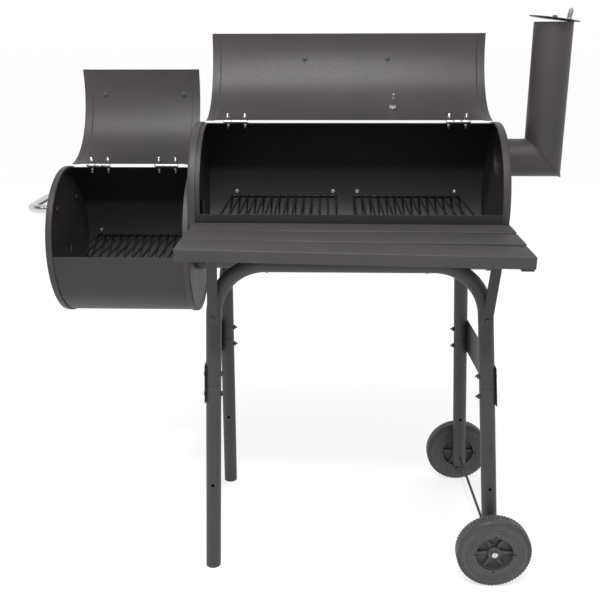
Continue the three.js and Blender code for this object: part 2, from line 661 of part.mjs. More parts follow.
// A flat bar from a front leg up to the shelf, turned forward under the slats.
// lean is its sideways slope and rise is how much the arm climbs towards the front.
function addBracket(smoker, side, lean, rise) {
  const bolt = legPoint(-1, side, dropAt(BRACKET.boltZ));
  const back = bolt.y - TUBE_OUTER - 1.4;
  const half = BRACKET.width / 2;
  const height = BRACKET.armZ - BRACKET.footZ;
  const upright = new THREE.BoxGeometry(BRACKET.width, BRACKET.thick, height)
    .translate(0, 0, height / 2)
    .rotateY(Math.atan(lean))
    .translate(bolt.x - lean * (BRACKET.boltZ - BRACKET.footZ), back - BRACKET.thick / 2,
      BRACKET.footZ);
  const armX = bolt.x + lean * (BRACKET.armZ - BRACKET.boltZ);
  const armLength = back - BRACKET.armFront;
  const arm = boxBetween([-half, -armLength, -BRACKET.thick], [half, 0, 0])
    .rotateX(-Math.atan(rise / armLength))
    .translate(armX, back, BRACKET.armZ);
  addPart(smoker, `shelf_bracket_${side}`, join(upright, arm), framePaint);
}

// ---------------------------------------------------------------- wheels
// A moulded wheel: a thick tyre ring and a hub joined by a thin web with six spokes.
function wheelBody() {
  const half = WHEEL.halfWidth;
  const web = 2;
  const side = [
    [WHEEL.bore, WHEEL.hub], [14, WHEEL.hub], [14, web], [38, web], [38, half - 2], [41, half],
    [63, half], [73.5, half - 2.5], [WHEEL.radius, half - 7],
  ];
  const otherSide = side.map(([r, h]) => [r, -h]);
  const body = turnedZ([...otherSide, ...side.reverse(), otherSide[0]], 28);
  const spokes = Array.from({ length: 6 }, (_, k) =>
    boxBetween([13, -2.6, -8], [39, 2.6, 8]).rotateZ(60 * k * DEG));
  return join(body, ...spokes).rotateX(90 * DEG);
}

function addWheels(smoker) {
  const axis = groupAt(smoker, AXLE.x, 0, WHEEL.radius);
  axis.rotation.z = AXLE.turn;
  const outside = WHEEL.hub + GAP;
  addPart(axis, 'axle',
    rodY(AXLE.radius, WHEEL.front - outside - 3, WHEEL.rear + outside + 3), framePaint);
  [['front', WHEEL.front, -1], ['rear', WHEEL.rear, 1]].forEach(([name, y, end]) => {
    addPart(axis, `${name}_wheel`, wheelBody(), plastic).position.y = y;
    const bore = AXLE.radius + GAP;
    const cap = [
      [bore, 0], [AXLE_NUT.radius, 0], [AXLE_NUT.radius, AXLE_NUT.height - 2],
      [AXLE_NUT.radius - 2.5, AXLE_NUT.height], [0, AXLE_NUT.height], [0, 4], [bore, 4],
      [bore, 0],
    ];
    addPart(axis, `${name}_axle_nut`,
      turnedZ(cap, 14).rotateX(-end * 90 * DEG).translate(0, y + end * outside, 0), zinc);
  });
}

// ---------------------------------------------------------------- assembly
const smoker = new THREE.Group();
addDrums(smoker);
addLids(smoker);
addSideHandle(smoker);
addChimney(smoker);
addStand(smoker);
addShelf(smoker);
addWheels(smoker);

// The origin is the bottom centre of the smoker's box.
const extent = new THREE.Box3().setFromObject(smoker, true);
const centre = extent.getCenter(new THREE.Vector3());
smoker.position.set(-centre.x, -centre.y, -extent.min.z);

const group = new THREE.Group();
group.add(smoker);

export default group;
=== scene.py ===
import json
from math import atan, cos, pi, radians, sin, tan

import bmesh
import bpy
from mathutils import Matrix, Vector


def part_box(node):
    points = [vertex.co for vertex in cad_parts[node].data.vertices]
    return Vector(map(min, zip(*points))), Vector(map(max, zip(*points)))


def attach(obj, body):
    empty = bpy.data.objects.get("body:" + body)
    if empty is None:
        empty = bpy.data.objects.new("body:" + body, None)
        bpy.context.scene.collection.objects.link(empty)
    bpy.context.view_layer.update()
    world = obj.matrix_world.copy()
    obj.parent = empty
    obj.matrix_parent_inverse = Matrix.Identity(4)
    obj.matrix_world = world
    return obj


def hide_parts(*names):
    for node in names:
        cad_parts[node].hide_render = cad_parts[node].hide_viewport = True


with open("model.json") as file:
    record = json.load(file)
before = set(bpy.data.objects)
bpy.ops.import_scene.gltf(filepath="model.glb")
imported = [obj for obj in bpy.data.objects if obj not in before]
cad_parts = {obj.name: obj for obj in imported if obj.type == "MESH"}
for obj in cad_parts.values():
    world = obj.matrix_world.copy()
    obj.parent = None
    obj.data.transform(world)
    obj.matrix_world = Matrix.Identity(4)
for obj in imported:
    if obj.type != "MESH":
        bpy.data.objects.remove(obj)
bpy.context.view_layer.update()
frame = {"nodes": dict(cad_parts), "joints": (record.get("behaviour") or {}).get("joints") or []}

MM = 0.001
LEFT_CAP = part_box("main_cap_left")
ORIGIN = Vector((LEFT_CAP[0].x, (LEFT_CAP[0].y + LEFT_CAP[1].y) / 2, 0))
JOINTS = {joint["name"]: joint for joint in frame["joints"]}


# ---- driving sizes, millimetres
def layout_box(node):
    """A CAD node's lowest and highest corners in the layout, in millimetres."""
    low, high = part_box(node)
    return (low - ORIGIN) / MM, (high - ORIGIN) / MM


def shift(x, y, z):
    return Matrix.Translation((x, y, z))


def spin(angle, axis):
    return Matrix.Rotation(angle, 4, axis)


def joint_pivot(name):
    """A joint's place in the layout, in millimetres."""
    return (Vector(JOINTS[name]["pos_m"]) - ORIGIN) / MM


class Drum:
    """A drum's measures: its ends, axis and radii from the frame, and its window's place."""

    def __init__(self, name, shell, caps, lid, hinge, lip, window, lid_end, handle):
        low, high = layout_box(shell)
        self.name = name
        self.axis_z = (low.z + high.z) / 2
        self.shell = (low.x, high.x)
        self.outer = (high.y - low.y) / 2
        self.inner = self.outer - SHEET
        self.caps = [layout_box(cap) for cap in caps]
        lid_low, lid_high = layout_box(lid)
        self.lid = (lid_low.x, lid_high.x)
        self.hinge, self.lip, self.lid_end = radians(hinge), radians(lip), radians(lid_end)
        self.window = window
        self.handle_x, self.handle_angle = handle[0], radians(handle[1])
        self.joint = f"{name}_lid_hinge"

    def opened(self):
        """The move that swings a closed lid's shapes to their open rest pose."""
        pivot = joint_pivot(self.joint)
        turn = -radians(JOINTS[self.joint]["range_deg"][1])
        return Matrix.Translation(pivot) @ spin(turn, "X") @ Matrix.Translation(-pivot)

    def on_axis(self):
        return shift(0, 0, self.axis_z)

    def radial(self, x, angle, radius):
        """A place on the drum at an angle, its Z pointing straight out and its X along the drum."""
        return shift(x, 0, self.axis_z) @ spin(angle, "X") @ shift(0, 0, radius)


SHEET = 1.6
CAP_OUTER = 153.3
LID_INNER = 152.0
LID_OUTER = 153.5
HINGE_RADIUS = 154.5
HINGE_WIDTH = 48
HINGE_BOLT = 17.6  # from a hinge's middle to each of its bolts
MAIN = Drum("main", "main_drum_shell", ("main_cap_left", "main_cap_right"), "main_lid",
            hinge=1, lip=92.7, window=(24, 604.6), lid_end=94.6, handle=((219.5, 396.8), 75))
FIREBOX = Drum("firebox", "firebox_shell", ("firebox_cap_left", "firebox_cap_right"), "firebox_lid",
               hinge=-8, lip=90.8, window=(-271.6, -13.4), lid_end=92.4, handle=((-225.5, -49.6), 72))
HINGES_X = {"main": (81.5, 534.8), "firebox": (-214.9, -70.4)}
PASSAGE = {"half": 62, "low": 672, "high": 762}
THERMOMETER = {"x": 405, "angle": radians(26), "zero": radians(215), "sweep": radians(250)}
FLUE = {"outer": 38, "inner": 36.5, "z": 856, "x": 709, "top": 1120}
DAMPER_TILT = radians(7.2)
DAMPER_BOLT_X = 736.5
HANDLE_TUBE = 6
SIDE_TUBE = 9
GRATE_STOPS = ((MAIN, 758.5, (64.7, 282.8, 337.1, 555.3)), (FIREBOX, 666.5, (-252, -32)))
TUBE_OUTER, TUBE_INNER = 15.8, 14.4
STAND = {
    "y": 122, "z": 659.5, "splay": radians(5.2), "bend": 106, "joint": 408,
    "front": {"left": (43.6, -0.0229), "right": (583.5, 0.0646)},
    "rear": {"left": (37.5, -0.0181), "right": (574, 0.0592)},
}
LEG_LOW = {"left": 4, "right": 58}  # the heights where the lower legs end
LEG_HOLE_Z = 191
SPIGOT = 44  # how far a lower leg reaches up inside its frame
PLATE = {"low": 369, "high": 452, "sheet": 1.6, "bolts": (388, 431)}
SPACERS_X = (106.4, 426.4)  # from the left corner of a frame's top tube
BRACKET_BOLT_Z = 554
SHELF = {"front": -381, "rear": -153.8, "top": 750.5, "height": 21, "gap": 5, "slat": 77}
SHELF_X = (12, 619)
SLAT_SAG = {"front": 0.018, "middle": 0.0095, "rear": 0.0026}
WHEEL = {"radius": 77.5, "half": 18.5, "hub": 13, "front": -229.5, "rear": 212}
SPOKES, WHEEL_HOLES, DIMPLES, TREAD_BLOCKS = 6, 4, 50, 64
AXLE = {"radius": 3, "x": 613.3, "turn": 0.0249}


# ---- shapes as points and faces
def show(name, data):
    """A new object in the scene."""
    made = bpy.data.objects.new(name, data)
    bpy.context.scene.collection.objects.link(made)
    return made


class Form:
    """Closed shapes in layout millimetres, gathered until they become one Blender mesh."""

    def __init__(self):
        self.points = []
        self.faces = []

    def add(self, shape, place=Matrix()):
        points, faces = shape
        first = len(self.points)
        self.points += [place @ Vector(point) for point in points]
        self.faces += [[first + i for i in face] for face in faces]
        return self

    def placed(self, place):
        self.points = [place @ point for point in self.points]
        return self

    def mesh(self, name, scale=1.0, origin=Vector()):
        mesh = bpy.data.meshes.new(name)
        mesh.from_pydata([origin + point * scale for point in self.points], [], self.faces)
        work = bmesh.new()
        work.from_mesh(mesh)
        bmesh.ops.recalc_face_normals(work, faces=work.faces)
        work.to_mesh(mesh)
        work.free()
        return mesh

    def make(self, name, slot, replaces=(), body="smoker_frame", bevel=0.0, sharp=32, material=None):
        """Turns the form into a piece that rides on a body and stands for CAD nodes."""
        mesh = self.mesh(name, MM, ORIGIN)
        mesh.shade_smooth()
        mesh.set_sharp_from_angle(angle=radians(sharp))
        mesh.materials.append(MATERIALS[material or slot])
        piece = show(name, mesh)
        if bevel:
            rounding = piece.modifiers.new("edge rounding", "BEVEL")
            rounding.width = bevel * MM
            rounding.segments = 2
            rounding.limit_method = "ANGLE"
            rounding.angle_limit = radians(40)
            rounding.harden_normals = True
        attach(piece, body)
        if replaces:
            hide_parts(*replaces)
        return piece


def carve(form, *cutters):
    """The form less each cutter, as a new form."""
    base, *tools = [show("carving", shape.mesh("carving")) for shape in (form, *cutters)]
    for tool in tools:
        cut = base.modifiers.new("cut", "BOOLEAN")
        cut.operation = "DIFFERENCE"
        cut.solver = "EXACT"
        cut.object = tool
    carved = bpy.data.meshes.new_from_object(
        base.evaluated_get(bpy.context.evaluated_depsgraph_get()))
    result = Form()
    result.points = [vertex.co.copy() for vertex in carved.vertices]
    result.faces = [list(face.vertices) for face in carved.polygons]
    for stand in (base, *tools):
        bpy.data.objects.remove(stand)
    return result


def skin(rings, loop=False):
    """Rings of points joined by quads; an open run is closed with a face at each end."""
    sides = len(rings[0])
    points = [point for ring in rings for point in ring]
    faces = []
    for i in range(len(rings) if loop else len(rings) - 1):
        a, b = i * sides, (i + 1) % len(rings) * sides
        faces += [[a + k, a + (k + 1) % sides, b + (k + 1) % sides, b + k] for k in range(sides)]
    if not loop:
        last = (len(rings) - 1) * sides
        faces += [list(range(sides)), list(range(last, last + sides))]
    return points, faces


def lathe(profile, sides=64, loop=False):
    """A [radius, height] profile turned about Z."""
    turns = [2 * pi * k / sides for k in range(sides)]
    return skin([[(r * cos(t), r * sin(t), h) for t in turns] for r, h in profile], loop)


def fillet(corners, radius, steps=4, closed=True):
    """An outline whose corners are rounded, each by the radius or by less where there is no room."""
    rounded = []
    count = len(corners)
    for i, corner in enumerate(corners):
        if not closed and i in (0, count - 1):
            rounded.append(tuple(corner))
            continue
        here = Vector(corner)
        before = Vector(corners[i - 1]) - here
        after = Vector(corners[(i + 1) % count]) - here
        half = before.angle(after) / 2
        reach = min(radius / tan(half), 0.49 * before.length, 0.49 * after.length)
        start = here + before.normalized() * reach
        end = here + after.normalized() * reach
        for k in range(steps + 1):
            t = k / steps
            rounded.append(tuple(start.lerp(here, t).lerp(here.lerp(end, t), t)))
    return rounded


def rectangle(x0, y0, x1, y1):
    return [(x0, y0), (x1, y0), (x1, y1), (x0, y1)]


def prism(outline, low, high):
    """An outline in X and Y drawn out along Z."""
    return skin([[(x, y, z) for x, y in outline] for z in (low, high)])


def prism_x(outline, low, high, stations=1):
    """An outline in Y and Z drawn out along X."""
    places = [low + (high - low) * k / stations for k in range(stations + 1)]
    return skin([[(x, y, z) for y, z in outline] for x in places])


def box(low, high):
    (x0, y0, z0), (x1, y1, z1) = low, high
    return prism(rectangle(x0, y0, x1, y1), z0, z1)


def rod(radius, low, high, sides=48, edge=0.4):
    """A round bar along Z with its two ends' edges rounded."""
    worn = radius - edge
    return lathe([(worn, low), (radius, low + edge), (radius, high - edge), (worn, high)], sides)


def bent_path(corners, radius, steps=10):
    """Corners joined by straight runs and true arcs of one radius."""
    path = [Vector(corners[0])]
    for i in range(1, len(corners) - 1):
        here = Vector(corners[i])
        into = (here - Vector(corners[i - 1])).normalized()
        out = (Vector(corners[i + 1]) - here).normalized()
        turn = into.angle(out)
        start = here - into * radius * tan(turn / 2)
        centre = here + (out - into).normalized() * radius / cos(turn / 2)
        spoke = start - centre
        for k in range(steps + 1):
            angle = turn * k / steps
            path.append(centre + spoke * cos(angle) + into * radius * sin(angle))
    path.append(Vector(corners[-1]))
    return path


def tube(path, radius, sides=40, bore=0.0, end_edge=0.0):
    """A round tube along a path, hollow where it has a bore."""
    tangents = []
    for i, point in enumerate(path):
        ahead = path[min(i + 1, len(path) - 1)] - point
        behind = point - path[max(i - 1, 0)]
        tangents.append((ahead.normalized() + behind.normalized()).normalized())
    side = tangents[0].orthogonal().normalized()
    frames = []
    for point, tangent in zip(path, tangents):
        side = (side - tangent * side.dot(tangent)).normalized()
        frames.append((point, side, tangent.cross(side), tangent))

    def ring(at, size, along=0.0):
        point, u, v, tangent = at
        turns = [2 * pi * k / sides for k in range(sides)]
        return [point + tangent * along + (u * cos(t) + v * sin(t)) * size for t in turns]

    rings = [ring(at, radius) for at in frames]
    if end_edge:
        rings[0] = ring(frames[0], radius, end_edge)
        rings[-1] = ring(frames[-1], radius, -end_edge)
        rings = [ring(frames[0], radius - end_edge), *rings, ring(frames[-1], radius - end_edge)]
    if bore:
        rings += [ring(at, bore) for at in reversed(frames)]
        return skin(rings, loop=True)
    return skin(rings)


def arc(start, end, step):
    """Even steps from start to end, each about as long as step."""
    count = max(1, round((end - start) / step))
    return [start + (end - start) * k / count for k in range(count + 1)]


def sector(inner, outer, start, end, step):
    """The outline of a stretch of a flat ring."""
    angles = arc(start, end, step)
    outline = [(outer * cos(a), outer * sin(a)) for a in angles]
    return outline + [(inner * cos(a), inner * sin(a)) for a in reversed(angles)]


ROLL_STEP = radians(2)


def rolled_sheet(angles, stations, inner, outer, swell=None, opening=None, whole=False):
    """A rolled sheet as a closed shell: a grid of cells round the X axis, less an opening's cells.
    swell(x, angle) moves the sheet out by that much, and opening(x, angle) says where it is cut."""
    rows = len(angles)
    spans = rows if whole else rows - 1
    points = {}
    order = []

    def corner(i, j, face):
        key = (i % rows, j, face)
        if key not in points:
            angle, x = angles[key[0]], stations[j]
            radius = (outer if face else inner) + (swell(x, angle) if swell else 0)
            points[key] = len(order)
            order.append((x, -radius * sin(angle), radius * cos(angle)))
        return points[key]

    def solid(i, j):
        if j < 0 or j >= len(stations) - 1 or (not whole and not 0 <= i < spans):
            return False
        after = angles[(i + 1) % rows] + (2 * pi if whole and (i + 1) % rows == 0 else 0)
        angle, x = (angles[i % rows] + after) / 2, (stations[j] + stations[j + 1]) / 2
        return not (opening and opening(x, angle))

    faces = []
    for i in range(spans):
        for j in range(len(stations) - 1):
            if not solid(i, j):
                continue
            cell = [(i, j), (i + 1, j), (i + 1, j + 1), (i, j + 1)]
            faces.append([corner(a, b, True) for a, b in cell])
            faces.append([corner(a, b, False) for a, b in reversed(cell)])
            before, after = ((i - 1) % rows, (i + 1) % rows) if whole else (i - 1, i + 1)
            beside = [(before, j, 3, 0), (after, j, 1, 2), (i, j - 1, 0, 1), (i, j + 1, 2, 3)]
            for near_i, near_j, a, b in beside:
                if not solid(near_i, near_j):
                    p, q = cell[a], cell[b]
                    faces.append([corner(*p, True), corner(*q, True),
                                  corner(*q, False), corner(*p, False)])
    return order, faces


# ---- fasteners
def dome_head(radius, height=2.8):
    """A round bolt head that sits on Z = 0."""
    crown = [(radius * cos(a), height * sin(a)) for a in arc(radians(12), radians(84), radians(12))]
    return lathe([(radius * 0.98, 0), *crown], 28)


def washer(radius, thick, bore):
    return lathe(fillet(rectangle(bore, 0, radius, thick), 0.25, 2), 32, loop=True)


def hex_nut(size, height=3.6, low=0.0):
    """A hexagon nut with its corners taken off."""
    turns = [2 * pi * k / 36 for k in range(36)]

    def ring(z, limit):
        reach = [size / cos((t + pi / 6) % (pi / 3) - pi / 6) for t in turns]
        return [(min(r, limit) * cos(t), min(r, limit) * sin(t), z) for r, t in zip(reach, turns)]

    worn = size * 1.03
    full = size * 1.16
    return skin([ring(low, worn), ring(low + 0.6, full), ring(low + height - 0.6, full),
                 ring(low + height, worn)])


def thread(radius, low, high, pitch=0.9):
    """The end of a bolt, its thread drawn as fine rings."""
    profile = [(radius * 0.86, low)]
    z = low
    while z + pitch < high - 0.6:
        profile += [(radius * 0.86, z + 0.1 * pitch), (radius, z + 0.5 * pitch)]
        z += pitch
    profile += [(radius * 0.86, high - 0.5), (radius * 0.6, high)]
    return lathe(profile, 18)


def bolt_set(form, place, grip, stick_out, radius, nut):
    """A bolt through a grip: its head on place's +Z side, and its nut and thread below."""
    form.add(dome_head(radius), place)
    under = place @ shift(0, 0, -grip) @ spin(pi, "X")
    form.add(hex_nut(nut, low=0.05), under)
    form.add(thread(2.4, 0, stick_out), under)


# ---- materials
class Nodes:
    """The nodes of a material or a world, with short ways to add and join them."""

    def __init__(self, owner, shader="Principled BSDF", place="Object"):
        owner.use_nodes = True
        self.tree = owner.node_tree
        self.shader = self.tree.nodes[shader]
        self.place = self.node("ShaderNodeTexCoord").outputs[place]

    def node(self, kind, **settings):
        made = self.tree.nodes.new(kind)
        for key, value in settings.items():
            if key in made.inputs:
                made.inputs[key].default_value = value
            else:
                setattr(made, key, value)
        return made

    def feed(self, socket, value):
        """Links a node's output to a socket, or gives the socket a plain value."""
        if isinstance(value, bpy.types.NodeSocket):
            self.tree.links.new(value, socket)
        else:
            socket.default_value = value

    def surface(self, **looks):
        """Sets the shader's inputs, named with _ for each space."""
        for name, value in looks.items():
            self.feed(self.shader.inputs[name.replace("_", " ")], value)

    def noise(self, scale, detail=3.0):
        texture = self.node("ShaderNodeTexNoise", Scale=scale, Detail=detail, Roughness=0.55)
        self.feed(texture.inputs["Vector"], self.place)
        return texture.outputs["Fac"]

    def spread(self, source, low, high, from_low=0.3, from_high=0.7, curve="LINEAR"):
        """A source's values from from_low to from_high, spread over low to high."""
        scale = self.node("ShaderNodeMapRange", clamp=True, interpolation_type=curve)
        names = ("Value", "From Min", "From Max", "To Min", "To Max")
        for name, value in zip(names, (source, from_low, from_high, low, high)):
            self.feed(scale.inputs[name], value)
        return scale.outputs["Result"]

    def mix(self, fac, first, second):
        mixer = self.node("ShaderNodeMix", data_type="RGBA")
        for index, value in ((0, fac), (6, first), (7, second)):
            self.feed(mixer.inputs[index], value)
        return mixer.outputs[2]

    def bump(self, height, strength, distance):
        bump = self.node("ShaderNodeBump", Strength=strength, Distance=distance)
        self.feed(bump.inputs["Height"], height)
        return bump.outputs["Normal"]


def new_material(name):
    material = bpy.data.materials.new(name)
    return material, Nodes(material)


def rgba(colour, scale=1.0):
    return (*(channel * scale for channel in colour), 1.0)


def paint(name, colour, roughness, warm=(1.0, 1.0, 1.0), grain=0.35, grain_size=900):
    """Black paint: broad tints, a fine speckle, a sprayed grain and uneven gloss."""
    material, nodes = new_material(name)
    tint = nodes.spread(nodes.noise(5.0, 4.0), 0.0, 1.0, 0.35, 0.65)
    warm_colour = [c * w for c, w in zip(colour, warm)]
    base = nodes.mix(tint, rgba(colour, 0.9), rgba(warm_colour, 1.12))
    speckle = nodes.spread(nodes.noise(grain_size * 0.8, 2.0), 0.0, 0.5, 0.5, 0.8)
    nodes.surface(
        Base_Color=nodes.mix(speckle, base, rgba(colour, 1.9)),
        Roughness=nodes.spread(nodes.noise(160.0, 4.0), roughness - 0.03, roughness + 0.04),
        Normal=nodes.bump(nodes.noise(grain_size, 2.0), grain, 0.00012),
        Specular_IOR_Level=0.35)
    return material


def plated(name, colour, roughness, smudge=0.08):
    """Plated metal with slight smudges and faint grain."""
    material, nodes = new_material(name)
    cloud = nodes.spread(nodes.noise(60.0, 4.0), 0.0, 1.0)
    nodes.surface(
        Metallic=1.0,
        Base_Color=nodes.mix(cloud, rgba(colour, 0.86), rgba(colour, 1.04)),
        Roughness=nodes.spread(nodes.noise(150.0, 4.0), roughness - smudge / 2, roughness + smudge),
        Normal=nodes.bump(nodes.noise(400.0), 0.12, 0.0001))
    return material


def moulded(name, colour, roughness):
    """Moulded plastic: a fine even grain with duller patches."""
    material, nodes = new_material(name)
    patch = nodes.spread(nodes.noise(30.0, 4.0), 0.0, 1.0)
    nodes.surface(
        Base_Color=nodes.mix(patch, rgba(colour, 0.85), rgba(colour, 1.3)),
        Roughness=nodes.spread(nodes.noise(90.0), roughness - 0.07, roughness + 0.09),
        Normal=nodes.bump(nodes.noise(1300.0, 2.0), 0.25, 0.0001))
    return material


def clear_glass(name):
    material, nodes = new_material(name)
    nodes.surface(Transmission_Weight=1.0, IOR=1.45, Base_Color=(0.97, 0.99, 0.99, 1),
                  Roughness=nodes.spread(nodes.noise(80.0), 0.02, 0.06))
    return material


MATERIALS = {
    "black_paint": paint("black_paint", (0.030, 0.028, 0.0285), 0.46, warm=(1.15, 1.0, 1.02)),
    # painted shade: a darker copy of black_paint for the drum shells, so their lower fronts and chamber
    # insides look shaded
    "shaded_shell_paint": paint("shaded_shell_paint", (0.019, 0.0185, 0.0187), 0.5, warm=(1.1, 1.0, 1.0)),
    "frame_paint": paint("frame_paint", (0.038, 0.038, 0.038), 0.5, grain=0.3, grain_size=1200),
    "shelf_paint": paint("shelf_paint", (0.036, 0.034, 0.034), 0.52, warm=(1.08, 1.0, 1.0),
                         grain=0.5, grain_size=700),
    "grate_enamel": paint("grate_enamel", (0.013, 0.013, 0.014), 0.42, grain=0.25, grain_size=1500),
    "zinc_plate": plated("zinc_plate", (0.66, 0.67, 0.69), 0.3),
    "worn_zinc": plated("worn_zinc", (0.36, 0.35, 0.35), 0.4),
    "chrome_plate": plated("chrome_plate", (0.60, 0.595, 0.60), 0.14, smudge=0.05),
    "black_plastic": moulded("black_plastic", (0.044, 0.043, 0.044), 0.55),
    "dial_face": moulded("dial_face", (0.80, 0.79, 0.75), 0.5),
    "dial_print": moulded("dial_print", (0.02, 0.02, 0.02), 0.5),
    "dial_zone": moulded("dial_zone", (0.45, 0.16, 0.03), 0.5),
    "dial_needle": moulded("dial_needle", (0.42, 0.02, 0.015), 0.45),
    "dial_glass": clear_glass("dial_glass"),
}


# ---- camera, floor and light
def set_camera():
    """A standing adult's view of the smoker, a little from above."""
    place = Vector((269.7, -1732.3, 1102.4)) * MM + ORIGIN
    yaw, pitch, roll = -0.0332, -0.3106, -0.0029
    data = bpy.data.cameras.new("camera")
    data.sensor_width = 36.0
    data.lens = 50.13
    data.clip_end = 50.0
    camera = show("camera", data)
    aim = spin(-yaw, "Z") @ spin(pi / 2 + pitch, "X") @ spin(roll, "Z")
    camera.matrix_world = Matrix.Translation(place) @ aim
    bpy.context.scene.camera = camera


def set_floor():
    reach = 60.0
    mesh = bpy.data.meshes.new("floor")
    corners = [(x, y, 0) for x, y in rectangle(-reach, -reach, reach, reach)]
    mesh.from_pydata(corners, [], [(0, 1, 2, 3)])
    material, nodes = new_material("pale_floor")
    tone = nodes.spread(nodes.noise(2.0), 0.0, 1.0)
    nodes.surface(Base_Color=nodes.mix(tone, rgba((0.42,) * 3), rgba((0.44,) * 3)), Roughness=0.9,
                  Emission_Color=(1, 1, 1, 1), Emission_Strength=0.68)
    mesh.materials.append(material)
    show("floor", mesh)


def add_light(name, place, target, size, power):
    data = bpy.data.lights.new(name, "AREA")
    data.shape = "RECTANGLE"
    data.size, data.size_y = size
    data.energy = power
    light = show(name, data)
    light.location = place
    light.rotation_euler = (Vector(target) - Vector(place)).to_track_quat("-Z", "Y").to_euler()


def set_world():
    """A white room whose ceiling in front of the smoker is dark, for black paint and chrome."""
    world = bpy.data.worlds.new("studio")
    nodes = Nodes(world, "Background", "Generated")
    middle, rim = radians(40), radians(85)
    ahead = nodes.node("ShaderNodeVectorMath", operation="DOT_PRODUCT")
    apart = nodes.node("ShaderNodeSeparateXYZ")
    dark = nodes.node("ShaderNodeMath", operation="MULTIPLY")
    nodes.feed(ahead.inputs[0], nodes.place)
    nodes.feed(ahead.inputs[1], (0, -cos(middle), sin(middle)))
    nodes.feed(apart.inputs[0], nodes.place)

    def ramp(source, start, end, low, high):
        return nodes.spread(source, low, high, start, end, "SMOOTHSTEP")

    nodes.feed(dark.inputs[0], ramp(ahead.outputs["Value"], cos(rim), cos(middle), 0, 1))
    nodes.feed(dark.inputs[1], ramp(apart.outputs["Z"], sin(radians(5)), sin(radians(22)), 0, 1))
    nodes.surface(Color=(1.0, 1.0, 1.0, 1), Strength=ramp(dark.outputs[0], 0, 1, 1.0, 0.25))
    bpy.context.scene.world = world


def set_lights():
    set_world()
    bpy.context.scene.view_settings.view_transform = "Standard"
    add_light("overhead", (-0.25, -1.0, 2.85), (-0.1, 0.05, 0.85), (2.0, 0.5), 56)
    add_light("lamp", (0.05, -1.75, 2.35), (0.05, 0.05, 0.75), (0.12, 0.12), 28)


# ---- drums
def drum_shell(drum, replaces):
    start, end = drum.hinge - radians(1), drum.lip
    x0, x1 = drum.shell
    stations = sorted([x0, *drum.window, x1, *[x0 + (x1 - x0) * k / 12 for k in range(1, 12)]])

    def opening(x, angle):
        return drum.window[0] < x < drum.window[1] and start < angle < end

    # Steps all round the drum, with a step exactly at each edge of its window.
    angles = arc(start, end, ROLL_STEP)[:-1] + arc(end, start + 2 * pi, ROLL_STEP)[:-1]
    sheet = rolled_sheet(angles, stations, drum.inner, drum.outer, opening=opening, whole=True)
    # the shell takes the darker copy of the black paint, which is painted shade
    Form().add(sheet, drum.on_axis()).make(
        f"{drum.name}_shell", "black_paint", replaces, bevel=0.35, material="shaded_shell_paint")


def cap_profile(flange):
    """A pressed end: a flat disc in a shallow ring, a rolled corner and a rim that wraps the shell."""
    outer, inner, corner = CAP_OUTER, CAP_OUTER - SHEET, 4.0
    bend = arc(radians(-90), 0, radians(18))
    outside = [(outer - corner + corner * cos(a), corner + corner * sin(a)) for a in bend]
    ring = [(outer - 26, 0), (outer - 24, 0.4), (outer - 22, 1.1), (outer - 16, 1.1), (outer - 14, 0.4),
            (outer - 12, 0)]
    return [
        (20, 0), *ring, *outside, (outer, flange - 0.4), (outer - 0.4, flange), (inner + 0.3, flange),
        (inner, flange - 0.3), (inner, corner + 0.6), (inner - 1.2, SHEET + 1.4), (inner - 3.4, SHEET),
        *[(r, h + SHEET) for r, h in reversed(ring)], (20, SHEET),
    ]


def end_cap(drum, face_x, inward, flange):
    place = shift(face_x, 0, drum.axis_z) @ spin(inward * pi / 2, "Y")
    return Form().add(lathe(cap_profile(flange), 160), place)


def passage_cutter():
    half = PASSAGE["half"]
    outline = fillet(rectangle(-half, PASSAGE["low"], half, PASSAGE["high"]), 6)
    return Form().add(prism_x(outline, -20, 20))


def flue_cutter(x):
    bore = lathe([(FLUE["inner"], x - 20), (FLUE["inner"], x + 20)], 72)
    return Form().add(bore, shift(0, 0, FLUE["z"]) @ spin(pi / 2, "Y"))


def air_windows(turn):
    """The two opposite sectors through which air enters, as one cutter for each."""
    low, high = layout_box("air_shutter")
    spread = radians(28)
    cutters = []
    for middle in (turn, turn + pi):
        outline = sector(12, 34, middle - spread, middle + spread, radians(4))
        section = [(-v, u) for u, v in outline]
        window = prism_x(section, high.x - 20, high.x + 20)
        cutters.append(Form().add(window, shift(0, 0, (low.z + high.z) / 2)))
    return cutters


def make_caps():
    left_x, right_x = MAIN.caps[0][0].x, MAIN.caps[1][1].x
    main_flange = MAIN.caps[0][1].x - left_x
    far_x = FIREBOX.caps[1][1].x
    flange = far_x - FIREBOX.caps[1][0].x
    ends = (
        ("main_end_left", MAIN, left_x, 1, main_flange, [passage_cutter()], "main_cap_left"),
        ("main_end_right", MAIN, right_x, -1, main_flange, [flue_cutter(right_x)], "main_cap_right"),
        ("firebox_end_right", FIREBOX, far_x, -1, flange, [passage_cutter()], "firebox_cap_right"),
        ("firebox_end_left", FIREBOX, FIREBOX.caps[0][0].x, 1, flange, air_windows(0),
         "firebox_cap_left"),
    )
    for name, drum, face_x, inward, rim, cutters, node in ends:
        cap = end_cap(drum, face_x, inward, rim)
        carve(cap, *cutters).make(name, "black_paint", [node])


